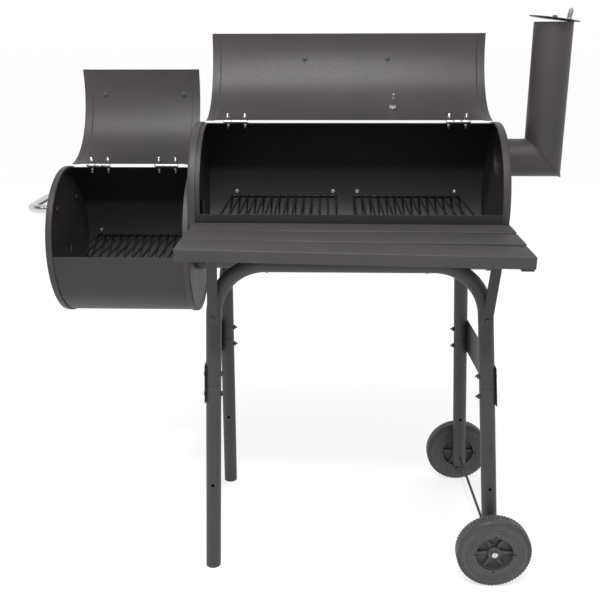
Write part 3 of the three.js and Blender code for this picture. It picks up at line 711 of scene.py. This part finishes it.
def make_shutter():
    """The turning disc over the firebox's air windows, with its thumb tab, on a rivet."""
    low, high = layout_box("air_shutter")
    centre = shift(high.x, 0, (low.z + high.z) / 2)
    sheet = 1.2
    to_x = centre @ spin(-pi / 2, "Y")
    disc = Form().add(lathe(fillet(rectangle(3.4, 0, 40, sheet), 0.4, 2), 96, loop=True), to_x)
    shutter = carve(disc, *air_windows(pi / 2))
    shutter.add(prism(rectangle(-16, -7, -0.6, 7), 26, 27.8), centre)
    shutter.make("air_shutter_disc", "black_paint", ["air_shutter"], "air_shutter", bevel=0.25)
    rivet = Form().add(dome_head(6.5, 4.2), to_x @ shift(0, 0, sheet + 0.3))
    rivet.add(rod(3, -4.8, sheet + 0.6, 24), to_x)
    rivet.add(dome_head(6, 2), to_x @ shift(0, 0, -2.4) @ spin(pi, "X"))
    rivet.make("air_shutter_pivot", "zinc_plate", ["air_shutter_rivet"])


# ---- lids and hinges
def make_lid(drum):
    """A rolled lid, pressed in a little between two creases near its ends."""
    x0, x1 = drum.lid
    crease, step = 17.0, 0.9

    def swell(x, _angle):
        return -step if min(x - x0, x1 - x) > crease + 1 else 0.0

    edge_stations = [x0, x0 + crease - 1, x0 + crease + 2.0]
    middle = [x0 + (x1 - x0) * k / 10 for k in range(1, 10)]
    stations = edge_stations + middle + [x0 + x1 - x for x in reversed(edge_stations)]
    angles = arc(drum.hinge + radians(1.5), drum.lid_end, ROLL_STEP)
    sheet = rolled_sheet(angles, stations, LID_INNER + 0.2, LID_OUTER, swell=swell)
    Form().add(sheet, drum.opened() @ drum.on_axis()).make(
        f"{drum.name}_lid_sheet", "black_paint", [f"{drum.name}_lid"], f"{drum.name}_lid",
        bevel=0.35, sharp=14)


def knuckle(low, high):
    return lathe(fillet(rectangle(2.3, low, 3.2, high), 0.25, 2), 32, loop=True)


def make_hinge(drum, name, x):
    """A hinge: a leaf with two knuckles on the drum, one with a knuckle on the lid, and a pin."""
    third, gap = HINGE_WIDTH / 3, 0.4
    x0, x1 = x - HINGE_WIDTH / 2, x + HINGE_WIDTH / 2
    along_x = drum.radial(0, drum.hinge, HINGE_RADIUS) @ spin(pi / 2, "Y")
    fixed_seat, lid_seat = drum.outer + 0.3, LID_OUTER + 0.3
    lower, upper = Form(), Form()

    def leaf(form, radii, start, end, span):
        angles = arc(drum.hinge + radians(start), drum.hinge + radians(end), radians(1))
        form.add(rolled_sheet(angles, arc(*span, 6), *radii), drum.on_axis())

    leaf(lower, (fixed_seat, fixed_seat + 1.5), -11.5, -2.6, (x0, x1))
    for span in ((x0, x0 + third - gap), (x1 - third + gap, x1)):
        lower.add(knuckle(*span), along_x)
        leaf(lower, (fixed_seat + 0.1, fixed_seat + 1.5), -2.8, -0.9, span)
    lower.make(f"{name}_fixed", "zinc_plate", [f"{name}_lower_leaf"], bevel=0.3)

    middle = (x0 + third, x1 - third)
    leaf(upper, (lid_seat, lid_seat + 1.5), 1.6, 11, (x0, x1))
    upper.add(knuckle(*middle), along_x)
    leaf(upper, (lid_seat, lid_seat + 1.4), 0.9, 1.8, middle)
    upper.placed(drum.opened()).make(
        f"{name}_moving", "zinc_plate", [f"{name}_upper_leaf"], f"{drum.name}_lid", bevel=0.3)

    pin = Form().add(rod(2, x0 - 1, x1 + 1, 24), along_x)
    pin.make(f"{name}_rod", "zinc_plate", [f"{name}_pin"])

    fixed_bolts, lid_bolts = Form(), Form()
    for bolt_x in (x - HINGE_BOLT, x + HINGE_BOLT):
        for bolts, seat, angle, inside in ((fixed_bolts, fixed_seat, -7, drum.inner),
                                           (lid_bolts, lid_seat, 6.6, LID_INNER - 0.9)):
            place = drum.radial(bolt_x, drum.hinge + radians(angle), seat + 1.5)
            bolt_set(bolts, place, seat + 1.5 - inside, stick_out=10, radius=4.4, nut=3.6)
    fixed_bolts.make(f"{name}_fixed_bolts", "zinc_plate", sharp=40)
    lid_bolts.placed(drum.opened()).make(
        f"{name}_lid_bolts", "zinc_plate", body=f"{drum.name}_lid", sharp=40)


def make_hinges(drum):
    for side, x in zip(("left", "right"), HINGES_X[drum.name]):
        make_hinge(drum, f"{drum.name}_hinge_{side}", x)


def screw(form, seat, head, disc):
    """A screw's round head on a washer."""
    form.add(washer(disc, 0.8, 2.4), seat)
    form.add(dome_head(head, 2.6), seat @ shift(0, 0, 0.8))


def make_lid_handle(drum):
    """A chromed bow on two screws whose dark heads show inside the lid."""
    foot = LID_OUTER + 0.3
    top = foot + 40
    left, right = drum.handle_x
    opened, angle = drum.opened(), drum.handle_angle
    path = bent_path([(left, 0, foot), (left, 0, top), (right, 0, top), (right, 0, foot)], 20, 12)
    form = Form().add(tube(path, HANDLE_TUBE, end_edge=0.4), opened @ drum.radial(0, angle, 0))
    screws = Form()
    flange = lathe(fillet([(5.9, 0), (9.5, 0), (8.6, 1.6), (5.9, 2.4)], 0.4, 2), 40, loop=True)
    for x in drum.handle_x:
        form.add(flange, opened @ drum.radial(x, angle, foot))
        screw(screws, opened @ drum.radial(x, angle, LID_INNER - 0.9) @ spin(pi, "X"), 4.6, 6.2)
    body = f"{drum.name}_lid"
    form.make(f"{body}_bow", "chrome_plate", [f"{body}_handle"], body)
    screws.make(f"{body}_bow_screws", "frame_paint", body=body, sharp=40)


def make_thermometer():
    """A dial on the lid with its ring, print, window and needle, and its stem and nut inside."""
    seat = LID_OUTER + 0.3
    place = MAIN.opened() @ MAIN.radial(THERMOMETER["x"], THERMOMETER["angle"], seat)
    zero, sweep = THERMOMETER["zero"], THERMOMETER["sweep"]
    body, face = "main_lid", 5.55
    case = fillet([(3.8, 0), (25, 0), (25, 7.8), (24.3, 9), (22.9, 9), (22.9, 8.1), (23.6, 7.2),
                   (23.6, 1.4), (3.8, 1.4)], 0.5, 3)
    Form().add(lathe(case, 96, loop=True), place).make(
        "thermometer_bezel", "chrome_plate", ["thermometer_case"], body)
    Form().add(lathe([(23.3, 4.6), (23.3, 5.6)], 96), place).make(
        "thermometer_plate", "dial_face", ["thermometer_dial"], body, bevel=0.15)

    marks = Form()
    ticks, long_every, edge = 25, 5, 21.2
    for k in range(ticks + 1):
        length, half = (4.2, 0.45) if k % long_every == 0 else (2.2, 0.22)
        tick = prism(rectangle(edge - length, -half, edge, half), face, 5.7)
        marks.add(tick, place @ spin(zero - sweep * k / ticks, "Z"))
    marks.add(lathe(fillet(rectangle(2.0, 5.5, 3.0, 5.7), 0.05, 1), 32, loop=True), place)
    marks.make("thermometer_marks", "dial_face", body=body, material="dial_print")
    zone = sector(13.4, 15.0, radians(35), radians(125), radians(3))
    Form().add(prism(zone, face, 5.68), place).make(
        "thermometer_zone", "dial_face", body=body, material="dial_zone")
    Form().add(lathe([(22.7, 7.9), (22.9, 8.1), (22.9, 8.5), (22.5, 8.7)], 96), place).make(
        "thermometer_glass", "dial_glass", body=body)

    pointer = [(-5, -1.3), (15.5, -0.4), (17.5, 0), (15.5, 0.4), (-5, 1.3)]
    needle = Form().add(prism(pointer, 6.8, 7.3), place @ spin(zero, "Z"))
    needle.add(rod(2.3, 6.7, 7.6, 32, 0.25), place)
    needle.make("thermometer_pointer", "dial_needle", ["thermometer_needle"], "needle", bevel=0.1)
    stem = [(1.4, -38), (2.2, -37), (2.2, -30), (3, -29), (3, 4), (1.2, 4), (1.2, 6.5)]
    Form().add(lathe(stem, 28), place).make(
        "thermometer_probe", "zinc_plate", ["thermometer_stem"], body)
    nut_seat = place @ shift(0, 0, LID_INNER - seat - 0.7) @ spin(pi, "X")
    Form().add(hex_nut(7.0, 5.0), nut_seat).make(
        "thermometer_lock_nut", "zinc_plate", ["thermometer_nut"], body)


def make_side_handle():
    """A thicker bow across the firebox's end, on two screws from inside."""
    low, high = layout_box("side_handle")
    y, z = high.y - SIDE_TUBE, (low.z + high.z) / 2
    root, tip = high.x, low.x + SIDE_TUBE
    inside = FIREBOX.caps[0][0].x + SHEET + 2.2
    path = bent_path([(root, -y, z), (tip, -y, z), (tip, y, z), (root, y, z)], 26, 14)
    form = Form().add(tube(path, SIDE_TUBE, end_edge=0.4))
    screws = Form()
    flange = lathe(fillet([(8.8, 0), (14, 0), (12.8, 2), (8.8, 3)], 0.5, 2), 40, loop=True)
    for end in (-y, y):
        form.add(flange, shift(root, end, z) @ spin(-pi / 2, "Y"))
        screw(screws, shift(inside, end, z) @ spin(pi / 2, "Y"), 4.8, 6.5)
    form.make("side_bow", "chrome_plate", ["side_handle"])
    screws.make("side_bow_screws", "black_paint", sharp=40)


# ---- grates
def rod_grate(node):
    """Round rods welded front to back across two end rods, in the space of the CAD grate."""
    low, high = layout_box(node)
    thick = high.z - low.z
    rods, radius = 14, 2.1
    form = Form()
    for k in range(rods):
        x = low.x + radius + (high.x - low.x - 2 * radius) * k / (rods - 1)
        place = shift(x, 0, high.z - radius) @ spin(-pi / 2, "X")
        form.add(rod(radius, low.y + 0.3, high.y - 0.3, 16), place)
    for y in (low.y + thick / 2, high.y - thick / 2):
        place = shift(0, y, (low.z + high.z) / 2) @ spin(pi / 2, "Y")
        form.add(rod(thick / 2, low.x, high.x, 20), place)
    return form


def make_grates():
    for node, body in (("cooking_grate_left", "grate_left"), ("cooking_grate_right", "grate_right"),
                       ("charcoal_grate", "charcoal_grate")):
        rod_grate(node).make(f"{node}_rods", "grate_enamel", [node], body)


def make_grate_stops():
    """Bolts through the back wall, just above the grates' rear edge, with bright nuts inside."""
    stops = Form()
    for drum, z, places in GRATE_STOPS:
        angle = -pi / 2 - atan((drum.axis_z - z) / drum.inner)
        for x in places:
            seat = drum.radial(x, angle, drum.outer)
            bolt_set(stops, seat, drum.outer - drum.inner, stick_out=6, radius=4.8, nut=3.8)
    stops.make("grate_stop_bolts", "zinc_plate", sharp=40)


# ---- chimney
def flue_half(start, end, cutter_side):
    """A flue tube cut on the 45 degree mitre through the elbow's corner."""
    size = 220
    half = Form().add(tube([Vector(start), Vector(end)], FLUE["outer"], 96, FLUE["inner"]))
    corner = shift(FLUE["x"], 0, FLUE["z"]) @ spin(-pi / 4, "Y")
    offset = shift(cutter_side * (size / 2 - 0.15), 0, 0)
    cutter = Form().add(box((-size / 2,) * 3, (size / 2,) * 3), corner @ offset)
    return carve(half, cutter)


def make_chimney():
    """An elbow and a stack, welded on their mitre, with a ring at the drum and a tab for the damper."""
    z, x, top, outer = FLUE["z"], FLUE["x"], FLUE["top"], FLUE["outer"]
    start = layout_box("chimney_elbow")[0].x
    elbow = flue_half((start, 0, z), (x + 60, 0, z), 1)
    collar = fillet([(outer - 0.2, 0), (outer + 2.2, 0), (outer - 0.2, 2.4)], 0.8, 3)
    elbow.add(lathe(collar, 96, loop=True), shift(start, 0, z) @ spin(pi / 2, "Y"))
    elbow.make("chimney_elbow_tube", "black_paint", ["chimney_elbow"], sharp=40)

    stack = flue_half((x, 0, z - 60), (x, 0, top), -1)
    stack.add(prism(fillet(rectangle(DAMPER_BOLT_X - 9, -8, x + 37, 8), 3), top - 12, top - 10))
    stack.make("chimney_stack_tube", "black_paint", ["chimney_stack"], sharp=40)
    seam = []
    for turn in arc(0, 2 * pi, 2 * pi / 96):
        run, y = 0.99 * outer * cos(turn), outer * sin(turn)
        wander = 0.3 * sin(11 * turn) + 0.25 * sin(23 * turn + 1)
        seam.append(Vector((x + run + wander, y, z - run + wander)))
    Form().add(tube(seam, 1.7, 12)).make("chimney_weld", "black_paint")


def make_damper():
    """A tilted plate and knob that turn on a long screw, and a spring above them with its nut."""
    pivot = joint_pivot("damper_swivel")
    place = Matrix.Translation(pivot) @ spin(DAMPER_TILT, "Y")
    centre = place @ shift((FLUE["x"] + 1 - pivot.x) / cos(DAMPER_TILT), 0, 0)
    plate = [(48.6, 0), (49, 0.4), (49, 1.1), (48.6, 1.5), (42, 1.5), (40.5, 1.5), (12, 1.5)]
    disc = Form().add(lathe(plate, 96), centre)
    hole = Form().add(rod(3, -6, 6, 24), place)
    carve(disc, hole).make("damper_plate", "black_paint", ["damper_disc"], "damper", sharp=40)
    knob = [(4.2, 0), (4.6, 0.4), (4.6, 3.4), (4.3, 4.6), (3.5, 5.3), (1.2, 5.4)]
    Form().add(lathe(knob, 40), centre @ shift(0, 0, 1.8)).make(
        "damper_grip", "black_plastic", ["damper_knob"], "damper")

    bolt = Form().add(thread(2.5, -14.8, 25, 0.8), place)
    bolt.add(hex_nut(4.3, 3.2, -18), place)
    bolt.make("damper_screw", "zinc_plate", ["damper_pivot_bolt"], sharp=45, material="worn_zinc")
    turns, radius, low, rise = 5, 4.5, 2.4, 12.2
    angles = arc(0, turns * 2 * pi, 2 * pi / 26)
    coil = [Vector((radius * cos(a), radius * sin(a), low + rise * a / angles[-1])) for a in angles]
    Form().add(tube(coil, 0.75, 10), place).make(
        "damper_coil", "zinc_plate", ["damper_spring"], material="worn_zinc")
    nut = Form().add(washer(5.4, 0.8, 2.6), place @ shift(0, 0, 15.0))
    nut.add(hex_nut(4.3, 5.6, 15.9), place)
    nut.make("damper_lock_nut", "zinc_plate", ["damper_pivot_nut"], sharp=40, material="worn_zinc")


# ---- stand
def leg_point(end, side, drop):
    """A point on a leg's centre line, by its drop below the frame's top tube."""
    start, lean = STAND["rear" if end > 0 else "front"][side]
    y = end * (STAND["y"] + drop * sin(STAND["splay"]))
    return Vector((start + lean * drop, y, STAND["z"] - drop * cos(STAND["splay"])))


def drop_at(z):
    return (STAND["z"] - z) / cos(STAND["splay"])


def across(point, direction):
    """A place at a point whose Z runs along a direction."""
    turn = Vector((0, 0, 1)).rotation_difference(Vector(direction).normalized())
    return Matrix.Translation(point) @ turn.to_matrix().to_4x4()


def make_stand():
    for end_name, end in (("front", -1), ("rear", 1)):
        joint = drop_at(STAND["joint"])
        corners = [leg_point(end, "left", joint), leg_point(end, "left", 0),
                   leg_point(end, "right", 0), leg_point(end, "right", joint)]
        path = bent_path(corners, STAND["bend"], 16)
        Form().add(tube(path, TUBE_OUTER, 44, TUBE_INNER)).make(
            f"{end_name}_frame_tube", "frame_paint", [f"{end_name}_leg_frame"], sharp=40)
        for side in ("left", "right"):
            make_lower_leg(end_name, end, side)
        make_foot(end_name, end)
    make_side_plates()
    make_stand_bolts()


def make_lower_leg(end_name, end, side):
    bottom = leg_point(end, side, drop_at(LEG_LOW[side]))
    top = leg_point(end, side, drop_at(STAND["joint"] - 0.6))
    spigot = leg_point(end, side, drop_at(STAND["joint"] + SPIGOT))
    form = Form().add(tube([bottom, top], TUBE_OUTER, 44, TUBE_INNER))
    hole = across(leg_point(end, side, drop_at(LEG_HOLE_Z)), (0, 1, 0))
    cutters = [Form().add(rod(3.4, -30, 30, 20, 0.1), hole)]
    if side == "right":
        along_y = axle_place() @ spin(pi / 2, "X")
        cutters.append(Form().add(rod(AXLE["radius"] + 0.4, -260, 260, 24, 0.1), along_y))
    carved = carve(form, *cutters)
    carved.add(tube([top.lerp(bottom, 0.02), spigot], TUBE_INNER - 0.7, 32, TUBE_INNER - 2))
    carved.make(
        f"{end_name}_{side}_leg_tube", "frame_paint", [f"{end_name}_{side}_lower_leg"], sharp=40)


def make_foot(end_name, end):
    """A moulded plug in the open end of a left leg, flat on the ground."""
    bottom = leg_point(end, "left", drop_at(0))
    up = leg_point(end, "left", 0) - bottom
    place = across(bottom, up)
    neck = TUBE_INNER - 0.4
    profile = [(3, -3), (TUBE_OUTER, -3), (TUBE_OUTER, 3.6), (neck, 3.6), (neck, 18), (3, 18)]
    plug = Form().add(lathe(fillet(profile, 0.5, 2, closed=False), 44), place)
    floor = Form().add(box((-600, -600, -60), (900, 600, 0)))
    carve(plug, floor).make(
        f"{end_name}_left_plug", "black_plastic", [f"{end_name}_left_foot"], sharp=40)


def plate_frame(side):
    """A side plate's place, with X along it and Z square to it, and its half length."""
    middle = drop_at((PLATE["low"] + PLATE["high"]) / 2)
    front, rear = leg_point(-1, side, middle), leg_point(1, side, middle)
    along = (rear - front).normalized()
    lean = (leg_point(-1, side, 0) - front).normalized()
    up = Vector((lean.x, 0, 1)).normalized()
    axes = Matrix([along, up, along.cross(up).normalized()]).transposed().to_4x4()
    return Matrix.Translation(front.lerp(rear, 0.5)) @ axes, (rear - front).length / 2


def make_side_plates():
    half_height = (PLATE["high"] - PLATE["low"]) / 2
    spread = half_height * tan(STAND["splay"])
    for side, outward in (("left", -1), ("right", 1)):
        place, half_length = plate_frame(side)
        reach = half_length + TUBE_OUTER - 3
        low, high = reach + spread, reach - spread
        outline = fillet([(-low, -half_height), (low, -half_height),
                          (high, half_height), (-high, half_height)], 5)
        near = outward * (TUBE_OUTER + 0.5)
        faces = sorted((near, near + outward * PLATE["sheet"]))
        Form().add(prism(outline, *faces), place).make(
            f"{side}_plate_sheet", "frame_paint", [f"{side}_side_plate"], bevel=0.3)


def through_bolt(form, point, direction, head, seats, thread_end):
    """A bolt through a tube: its head out along a direction, its nut and thread on the far side."""
    way = Vector(direction)
    form.add(head, across(point + way * seats[0], way))
    far = across(point - way * seats[1], -way)
    form.add(hex_nut(4.6, 4), far)
    form.add(thread(2.4, 0, thread_end), far)


def make_stand_bolts():
    """Bolts through the side plates, spacers under the drums and bolts for the shelf's brackets."""
    stand, bracket = Form(), Form()
    for side, outward in (("left", -1), ("right", 1)):
        for end in (-1, 1):
            for z in PLATE["bolts"]:
                through_bolt(stand, leg_point(end, side, drop_at(z)), (outward, 0, 0),
                             dome_head(5.4, 3), (TUBE_OUTER + 2.1, TUBE_OUTER - 0.4), 8.5)
    for end in (-1, 1):
        x, y, z = leg_point(end, "left", 0)
        for along in SPACERS_X:
            stand.add(dome_head(4, 1.6), shift(x + along, y, z - TUBE_OUTER + 0.3) @ spin(pi, "X"))
            stand.add(lathe([(7, 0), (7, 22)], 24), shift(x + along, y, z + TUBE_OUTER - 1))
    stand.make("stand_bolts", "frame_paint", sharp=40)
    for side in ("left", "right"):
        through_bolt(bracket, leg_point(-1, side, drop_at(BRACKET_BOLT_Z)), (0, -1, 0),
                     dome_head(5.2, 2.8), (TUBE_OUTER + 4.5, TUBE_OUTER - 0.5), 8)
    bracket.make("bracket_bolts", "zinc_plate", sharp=40, material="frame_paint")


# ---- shelf
def slat_section(y0, y1):
    """A folded channel, open below, with rounded folds and safe lower edges."""
    wall, fold, bend, low = 2.0, 1.4, 0.4, -SHELF["height"]
    turn = arc(0, pi / 2, pi / 10)
    outer = [(y1 - fold + fold * cos(a), -fold + fold * sin(a)) for a in turn]
    outer += [(y0 + fold - fold * sin(a), -fold + fold * cos(a)) for a in turn]
    depth = wall + bend
    inner = [(y0 + depth - bend * cos(a), -depth + bend * sin(a)) for a in turn]
    inner += [(y1 - depth + bend * sin(a), -depth + bend * cos(a)) for a in turn]
    return [(y1, low), *outer, (y0, low), (y0 + wall, low), *inner, (y1 - wall, low)]


def make_shelf():
    middle, half = sum(SHELF_X) / 2, (SHELF_X[1] - SHELF_X[0]) / 2
    for i, (name, sag) in enumerate(SLAT_SAG.items()):
        y0 = SHELF["front"] + i * (SHELF["slat"] + SHELF["gap"])
        y1 = min(y0 + SHELF["slat"], SHELF["rear"])
        place = shift(middle, 0, SHELF["top"]) @ spin(sag, "Y")
        Form().add(prism_x(slat_section(y0, y1), -half, half, 8), place).make(
            f"{name}_slat", "shelf_paint", [f"shelf_slat_{name}"], bevel=0.25, sharp=25)
    for side in ("left", "right"):
        bracket = frame["nodes"][f"shelf_bracket_{side}"]
        bracket.data.materials.clear()
        bracket.data.materials.append(MATERIALS["frame_paint"])


# ---- wheels
def axle_place():
    """The axle's middle, with Y along the axle."""
    return shift(AXLE["x"], 0, WHEEL["radius"]) @ spin(AXLE["turn"], "Z")


def wheel_profile():
    """Half a wheel's section from the hub's bore out to the tread, as [radius, height]."""
    half, hub = WHEEL["half"], WHEEL["hub"]
    rings = []
    for r in (50.5, 57):
        rings += [(r, half), (r + 0.5, half - 0.7), (r + 1.5, half - 0.7), (r + 2, half)]
    return [
        (3.3, hub - 0.5), (3.8, hub), (13, hub), (14, hub - 1), (14.8, 3.6), (16.5, 2), (36, 2),
        (37.4, 3.2), (38.2, half - 3), (39, half - 2.2), (43.4, half - 1.8), (44.6, half - 0.6),
        (46.2, half), *rings, (63, half), (65, half - 0.5), (67, half - 1.8), (71, half - 3.2),
        (74.8, half - 5.2), (76.8, half - 8), (77.5, half - 11.5),
    ]


def make_wheel(name, y, end):
    """A moulded wheel: a thick tyre ring, a web with spokes, and a row of dimples round the tread."""
    side = wheel_profile()
    other = [(r, -h) for r, h in side]
    body = Form().add(lathe(other + side[::-1], 144, loop=True))
    holes, dimples = Form(), Form()
    for turn in turns_of(WHEEL_HOLES):
        holes.add(rod(2.0, -30, 30, 18, 0.1), turn @ shift(41, 0, 0))
    dimple = rod(2.1, WHEEL["radius"] - 1.8, WHEEL["radius"] + 3, 14, 0.1)
    for turn in turns_of(DIMPLES):
        dimples.add(dimple, turn @ spin(pi / 2, "Y"))
    wheel = carve(body, holes, dimples)
    for turn in turns_of(SPOKES):
        wheel.add(prism([(12.6, -3.4), (38.4, -2.4), (38.4, 2.4), (12.6, 3.4)], -8, 8), turn)
    add_tread_blocks(wheel)
    wheel.placed(axle_place() @ shift(0, y, 0) @ spin(-end * pi / 2, "X"))
    wheel.make(f"{name}_wheel_moulding", "black_plastic", [f"{name}_wheel"], f"{name}_wheel",
               bevel=0.3, sharp=28)


def turns_of(count):
    """Even turns all round the Z axis."""
    return [spin(2 * pi * k / count, "Z") for k in range(count)]


def add_tread_blocks(wheel):
    """Small blocks round both shoulders of the tyre."""
    half = WHEEL["half"]
    profile = [(67.5, 3.4), (69.5, 1.6), (74.6, 3.4), (77.2, 6.8), (77.2, 12), (72, 12)]
    for turn in turns_of(TREAD_BLOCKS):
        for face in (-1, 1):
            section = [(r, face * (half - inset)) for r, inset in profile]
            wheel.add(skin([[(r, y, h) for r, h in section] for y in (-1.6, 1.6)]), turn)


def make_axle():
    place = axle_place()
    reach = WHEEL["hub"] + 3.3
    along_y = place @ spin(-pi / 2, "X")
    Form().add(rod(AXLE["radius"], WHEEL["front"] - reach, WHEEL["rear"] + reach, 32), along_y).make(
        "axle_rod", "frame_paint", ["axle"])
    for name, end in (("front", -1), ("rear", 1)):
        outside = WHEEL[name] + end * (WHEEL["hub"] + 0.3)
        cap = [(3.4, 0), (6.4, 0), (6.5, 0.3), (6.5, 3.2), (6.1, 4.6), (4.8, 5.6), (2.4, 6), (1, 6)]
        inner = [(1, 4.4), (3.4, 4.4)]
        seat = place @ across((0, outside, 0), (0, end, 0))
        Form().add(lathe(cap + inner, 40, loop=True), seat).make(
            f"{name}_push_nut", "zinc_plate", [f"{name}_axle_nut"], sharp=35)


# ---- assembly
def main():
    set_camera()
    set_floor()
    set_lights()
    drum_shell(MAIN, ["main_drum_shell"])
    drum_shell(FIREBOX, ["firebox_shell"])
    make_caps()
    make_shutter()
    for drum in (MAIN, FIREBOX):
        make_lid(drum)
        make_hinges(drum)
        make_lid_handle(drum)
    make_thermometer()
    make_side_handle()
    make_grates()
    make_grate_stops()
    make_chimney()
    make_damper()
    make_stand()
    make_shelf()
    for name, end in (("front", -1), ("rear", 1)):
        make_wheel(name, WHEEL[name], end)
    make_axle()


main()
